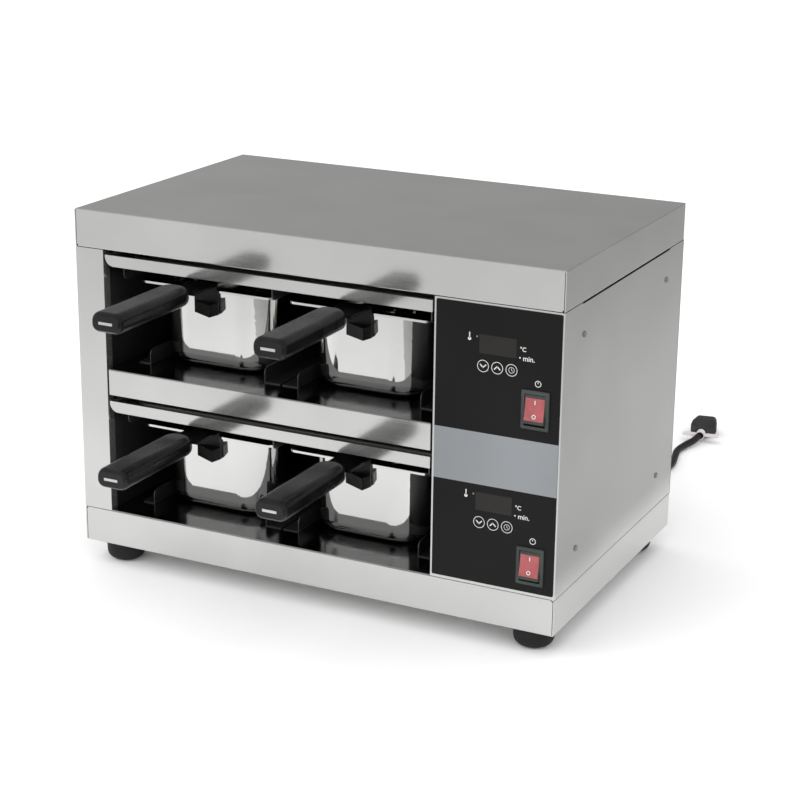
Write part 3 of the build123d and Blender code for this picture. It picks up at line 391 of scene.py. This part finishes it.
def coil_turns():
    """Turns of the coil: an upper layer going in, a lower one going out."""
    points = []
    for k in range(COIL_STEPS + 1):
        degrees = COIL_START + (COIL_END - COIL_START) * k / COIL_STEPS
        inward = progress(degrees, COIL_START, UPPER_TURN_END)
        outward = progress(degrees, UNWIND_START, UNWIND_END)
        radius = COIL_OUTER - (COIL_OUTER - COIL_INNER) * (inward - outward)
        height = COIL_TOP - (COIL_TOP - CORD_LOW) * progress(degrees, UPPER_TURN_END, LOWER_LAYER)
        angle = math.radians(degrees)
        points.append(Vector((COIL_CENTRE.x + radius * math.cos(angle),
                              COIL_CENTRE.y + radius * math.sin(angle), height)))
    return points


def make_cord():
    """One smooth cord in place of the CAD's three lengths of it."""
    points = behind(CORD_IN) + coil_turns() + behind(CORD_OUT)
    data = bpy.data.curves.new("supply_cord", "CURVE")
    data.dimensions = "3D"
    data.bevel_depth = CORD_DIAMETER / 2
    data.bevel_resolution = 5
    data.resolution_u = 8
    data.use_fill_caps = True
    spline = data.splines.new("NURBS")
    spline.points.add(len(points) - 1)
    for target, point in zip(spline.points, points):
        target.co = (*point, 1)
    spline.order_u = 3
    spline.use_endpoint_u = True
    cord = bpy.data.objects.new("supply_cord", data)
    data.materials.append(moulded("cord_rubber", (0.008, 0.008, 0.008), rough=0.48, grain=2200.0))
    bpy.context.scene.collection.objects.link(cord)
    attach(cord, "cabinet")
    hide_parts("supply_cord_in", "cord_coil", "supply_cord_out")


# ---- outlines of printed marks ----
PRINT = 0.04 * MM             # how far the ink stands off the film
FINE = 0.5 * MM               # widths of the strokes
LIGHT = 0.8 * MM
BOLD = 1.3 * MM


def flat_mesh(name, faces, y_face):
    """Thin solid marks from outlines of (x, z) points, standing off a face that looks along -Y."""
    mesh = bpy.data.meshes.new(name)
    shape = bmesh.new()
    for outline in faces:
        ring = [shape.verts.new((x, y_face, z)) for x, z in outline]
        shape.faces.new(ring)
    bmesh.ops.recalc_face_normals(shape, faces=shape.faces)
    result = bmesh.ops.extrude_face_region(shape, geom=shape.faces[:])
    moved = [v for v in result["geom"] if isinstance(v, bmesh.types.BMVert)]
    bmesh.ops.translate(shape, verts=moved, vec=(0, -PRINT, 0))
    bmesh.ops.recalc_face_normals(shape, faces=shape.faces)
    shape.to_mesh(mesh)
    shape.free()
    return mesh


def mark(name, mesh, material, body):
    """A printed mark on a CAD body."""
    obj = bpy.data.objects.new(name, mesh)
    mesh.materials.append(material)
    bpy.context.scene.collection.objects.link(obj)
    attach(obj, body)


def circle(x, z, radius, steps):
    return [(x + radius * math.cos(math.tau * k / steps), z + radius * math.sin(math.tau * k / steps))
            for k in range(steps)]


def ring_faces(x, z, radius, width, steps=40):
    """Quads of a ring whose line runs along a radius."""
    outer = circle(x, z, radius + width / 2, steps)
    inner = circle(x, z, radius - width / 2, steps)
    return [[outer[k], outer[(k + 1) % steps], inner[(k + 1) % steps], inner[k]] for k in range(steps)]


def stroke(points, width):
    """Quads of a line of constant width through points, each a quarter of the width longer at its ends."""
    quads = []
    for (x0, z0), (x1, z1) in zip(points, points[1:]):
        length = math.hypot(x1 - x0, z1 - z0)
        ux, uz = (x1 - x0) / length, (z1 - z0) / length
        nx, nz = -uz * width / 2, ux * width / 2
        x0, z0 = x0 - ux * width / 4, z0 - uz * width / 4
        x1, z1 = x1 + ux * width / 4, z1 + uz * width / 4
        quads.append([(x0 + nx, z0 + nz), (x1 + nx, z1 + nz), (x1 - nx, z1 - nz), (x0 - nx, z0 - nz)])
    return quads


def chevron(x, z, rise):
    """Arrow head that points up, or down where its rise is negative."""
    half = abs(rise)
    return stroke([(x - half, z - rise / 2), (x, z + rise / 2), (x + half, z - rise / 2)], BOLD)


def clock(x, z):
    hands = [(x, z + 1.9 * MM), (x, z), (x + 1.3 * MM, z - 0.9 * MM)]
    return ring_faces(x, z, radius=3.1 * MM, width=FINE) + stroke(hands, FINE)


def thermometer(x, z):
    """Small thermometer sign: stem and bulb."""
    stem = stroke([(x, z - 2.4 * MM), (x, z + 3.6 * MM)], 1.2 * MM)
    return stem + [circle(x, z - 3.2 * MM, radius=1.9 * MM, steps=24)]


def standby(x, z):
    """Ring with a short bar in its upper half."""
    bar = stroke([(x, z + 0.4 * MM), (x, z + 1.9 * MM)], LIGHT)
    return ring_faces(x, z, radius=3.2 * MM, width=LIGHT) + bar


# ---- marks on the control panel ----
TIER_DROP = {"upper": 0.0, "lower": 174.4 * MM}
KEY_PLACES = {"down": 210.8 * MM, "up": 226.9 * MM, "timer": 243.1 * MM}
KEY_DROP = 112.4 * MM         # drops are measured from the top of the cover, in the upper tier
KEY_RING = 6.3 * MM
KEY_RING_WIDTH = 0.7 * MM
ARROW_RISE = 3.2 * MM
THERMOMETER_PLACE = (194.6 * MM, 81.5 * MM)
STANDBY_PLACE = (273.1 * MM, 123.1 * MM)
BULLET_PLACE = (252.0 * MM, 97.7 * MM)
BULLET_RADIUS = 0.9 * MM
DEGREES_PLACE = (251.6 * MM, 90.6 * MM)
DEGREES_SIZE = 6.6 * MM
MINUTES_PLACE = (255.2 * MM, 100.5 * MM)
MINUTES_SIZE = 7.9 * MM
LETTER_BOLDNESS = 0.12 * MM


def on_panel(place, tier):
    """A place's X, and its Z from its drop and the tier's."""
    x, drop = place
    return x, BODY_TOP - drop - TIER_DROP[tier]


def key_marks(tier, white):
    """Ring and sign on each of the three keys. They ride on the keys."""
    for key, across in KEY_PLACES.items():
        x, z = on_panel((across, KEY_DROP), tier)
        if key == "timer":
            sign = clock(x, z)
        else:
            sign = chevron(x, z, ARROW_RISE if key == "up" else -ARROW_RISE)
        name = f"{tier}_{key}_key_mark"
        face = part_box(f"{tier}_{key}_key")[0].y
        faces = sign + ring_faces(x, z, KEY_RING, KEY_RING_WIDTH)
        mark(name, flat_mesh(name, faces, face), white, f"{tier}_{key}_button")


def panel_marks(tier, white):
    name = f"{tier}_panel_marks"
    faces = thermometer(*on_panel(THERMOMETER_PLACE, tier)) + standby(*on_panel(STANDBY_PLACE, tier))
    faces += [circle(*on_panel(BULLET_PLACE, tier), BULLET_RADIUS, steps=16)]
    mark(name, flat_mesh(name, faces, PANEL_FACE), white, "cabinet")
    words(f"{tier}_unit", "°C", on_panel(DEGREES_PLACE, tier), DEGREES_SIZE, white)
    words(f"{tier}_minutes", "min.", on_panel(MINUTES_PLACE, tier), MINUTES_SIZE, white)


def words(name, text, place, size, material):
    """Short sign in the built-in font, on the film."""
    data = bpy.data.curves.new(name, "FONT")
    data.body = text
    data.size = size
    data.extrude = PRINT / 2
    data.offset = LETTER_BOLDNESS
    data.materials.append(material)
    obj = bpy.data.objects.new(name, data)
    x, z = place
    upright = Matrix.Rotation(math.radians(90), 4, "X")
    obj.matrix_world = Matrix.Translation((x, PANEL_FACE - PRINT / 2, z)) @ upright
    bpy.context.scene.collection.objects.link(obj)
    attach(obj, "cabinet")


# ---- marks on the rockers ----
ROCKER_TILT = math.radians(10)
ROCKER_DROP = 151.8 * MM
PIN_DEPTH = 3 * MM            # the rocker's pin behind the front
LENS_MIDDLE = 6.85 * MM       # the lens's hollow face at its middle, ahead of the rocker's pin
LENS_RISE = 0.75 * MM         # its ends stand this much further out
LENS_HALF = 12 * MM


def rocker_marks(tier, white):
    """Bar and ring on the lens, following its tilt and its hollow face."""
    low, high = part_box(f"{tier}_rocker_lens")
    x, z = on_panel(((low.x + high.x) / 2, ROCKER_DROP), tier)
    out = Vector((0, -math.cos(ROCKER_TILT), math.sin(ROCKER_TILT)))
    up = Vector((0, math.sin(ROCKER_TILT), math.cos(ROCKER_TILT)))
    turn = Matrix((Vector((1, 0, 0)), -out, up)).transposed().to_4x4()
    place = Matrix.Translation((x, FRONT + PIN_DEPTH, z)) @ turn
    marks = {
        "bar": stroke([(0, 5.6 * MM), (0, 9.4 * MM)], width=1.1 * MM),
        "ring": ring_faces(0, -7.4 * MM, radius=1.9 * MM, width=0.9 * MM),
    }
    for sign, faces in marks.items():
        name = f"{tier}_rocker_{sign}"
        mesh = flat_mesh(name, faces, 0.0)
        for vertex in mesh.vertices:
            vertex.co.y -= LENS_MIDDLE + LENS_RISE * (vertex.co.z / LENS_HALF) ** 2
        mesh.transform(place)
        mark(name, mesh, white, f"{tier}_rocker")


# ---- studio ----
FLOOR_HALF = 12.0
FLOOR_TONES = ((0.90, 0.90, 0.90), (0.92, 0.92, 0.92))
BLACK = (0.0, 0.0, 0.0)
# Painted shade: the floor's tone is darkened where reflections see it, farther ahead of the cabinet and
# beside its right side.
# How much of the floor's tone reflections keep: an axis, where the change starts and ends, and the share
# at both. The shares are multiplied.
FLOOR_REFLECTION_SHADE = (
    ("Y", FRONT - 1.14, FRONT - 0.10, 0.62, 1.0),
    ("X", RIGHT + 0.055, RIGHT + 0.085, 1.0, 0.55),
    ("X", RIGHT + 0.16, RIGHT + 0.56, 1.0, 0.60),
)
SKY_LIGHT = (1.9, 0.6)        # strength ahead of the cabinet and behind it
SKY_MIRRORED = (0.8, 0.31)    # the same in reflections
KEY_LIGHT = 20                # watts
TOP_LIGHT = 10


def make_floor():
    """Pale floor. Its tone in reflections is painted darker away from the cabinet and beside its right
    side: painted shade in place of a studio's falloff.
    """
    mesh = bpy.data.meshes.new("studio_floor")
    corners = [(-FLOOR_HALF, -FLOOR_HALF, 0), (FLOOR_HALF, -FLOOR_HALF, 0), (FLOOR_HALF, FLOOR_HALF, 0),
               (-FLOOR_HALF, FLOOR_HALF, 0)]
    mesh.from_pydata(corners, [], [(0, 1, 2, 3)])
    floor = bpy.data.objects.new("studio_floor", mesh)
    bpy.context.scene.collection.objects.link(floor)
    mat = Nodes("studio_floor")
    cloud = mat.noise(scale=2.0, detail=2.0)
    axes = mat.axes()
    shares = [map_range(mat.tree, axes[axis], at_start, at_end, start, end)
              for axis, start, end, at_start, at_end in FLOOR_REFLECTION_SHADE]
    painted_shade = shares[0]
    for share in shares[1:]:
        painted_shade = mat.combine("MULTIPLY", painted_shade, share)
    pale = mat.blend(cloud, *FLOOR_TONES)
    # Painted shade: the tone that reflections see is the floor's tone darkened by these shares.
    shaded_reflection = mat.blend(painted_shade, BLACK, pale)
    rays = mat.add("ShaderNodeLightPath")
    mat.set(base_color=mat.blend(rays.outputs["Is Glossy Ray"], pale, shaded_reflection), roughness=0.9)
    mat.specular(0.0)
    mesh.materials.append(mat.material)


def make_world():
    """Soft white studio, brighter ahead of the cabinet than behind it, and dim in reflections."""
    world = bpy.data.worlds.new("studio")
    bpy.context.scene.world = world
    world.use_nodes = True
    tree = world.node_tree
    background = tree.nodes["Background"]
    coords = tree.nodes.new("ShaderNodeTexCoord")
    split = tree.nodes.new("ShaderNodeSeparateXYZ")
    tree.links.new(coords.outputs["Generated"], split.inputs["Vector"])
    rays = tree.nodes.new("ShaderNodeLightPath")
    choice = tree.nodes.new("ShaderNodeMix")
    tree.links.new(rays.outputs["Is Glossy Ray"], choice.inputs[MIX_FACTOR])
    for index, (ahead, beyond) in zip(MIX_VALUES, (SKY_LIGHT, SKY_MIRRORED)):
        strength = map_range(tree, split.outputs["Y"], ahead, beyond, start=-1.0, end=1.0)
        tree.links.new(strength, choice.inputs[index])
    tree.links.new(choice.outputs[MIX_NUMBER], background.inputs["Strength"])
    background.inputs["Color"].default_value = (1, 1, 1, 1)


def area_light(name, place, target, side, power):
    """Square light that lights the surfaces but does not show in them."""
    data = bpy.data.lights.new(name, "AREA")
    data.shape = "RECTANGLE"
    data.size = side
    data.size_y = side
    data.energy = power
    light = bpy.data.objects.new(name, data)
    aim = Vector(target) - Vector(place)
    light.rotation_euler = aim.to_track_quat("-Z", "Y").to_euler()
    light.location = place
    light.visible_glossy = False
    bpy.context.scene.collection.objects.link(light)


def make_studio():
    make_floor()
    make_world()
    area_light("key_light", place=(-1.6, -2.6, 2.6), target=(0, 0, 0.2), side=2.0, power=KEY_LIGHT)
    area_light("top_light", place=(0.3, 0.2, 3.0), target=(0, 0, 0), side=2.5, power=TOP_LIGHT)
    scene = bpy.context.scene
    scene.view_settings.view_transform = "Standard"
    scene.view_settings.look = "None"


make_camera()
dress_cabinet()
dress_pans()
dress_controls()
dress_cord_parts()
make_cord()
white_ink = ink("white_ink", (0.55, 0.55, 0.54))
for tier_name in TIERS:
    key_marks(tier_name, white_ink)
    panel_marks(tier_name, white_ink)
    rocker_marks(tier_name, white_ink)
make_studio()
